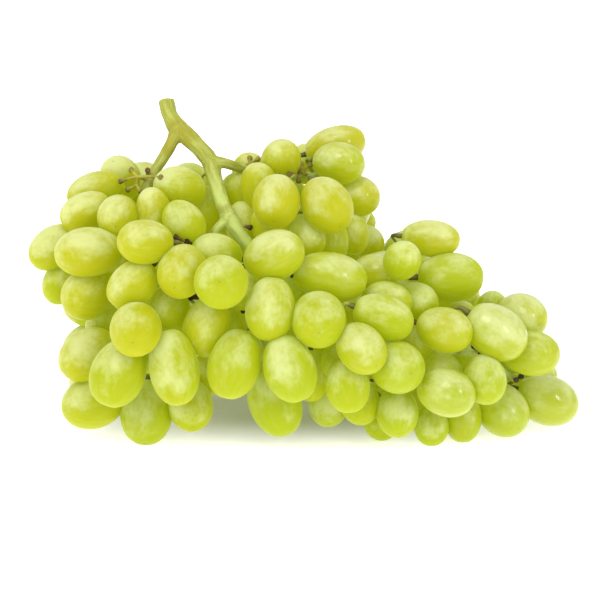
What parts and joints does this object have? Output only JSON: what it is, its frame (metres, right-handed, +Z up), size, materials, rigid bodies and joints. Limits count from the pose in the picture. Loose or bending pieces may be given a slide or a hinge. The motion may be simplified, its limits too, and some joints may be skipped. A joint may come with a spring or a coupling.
{
  "type": "bunch of grapes",
  "caption": "Large conical bunch of oval pale-green table grapes lying on its side, on a branched green stem with a cut end and dried bare pedicels.",
  "frame": {"origin": "centre of the bunch's footprint, at the surface it lies on", "axes": "+X along the bunch from its wings to its tail, +Y away from the side that shows, +Z up"},
  "size_m": [0.2098, 0.134, 0.1249],
  "materials": {
    "stem": "matt green-tan bark of a fresh grape stem",
    "berry_skin": "waxy satin skin with a pale bloom"
  },
  "bodies": {
    "root": {"stem": "stem", "berries_left_wing": "berry_skin", "berries_right_wing": "berry_skin", "berries_tail": "berry_skin"}
  },
  "joints": []
}
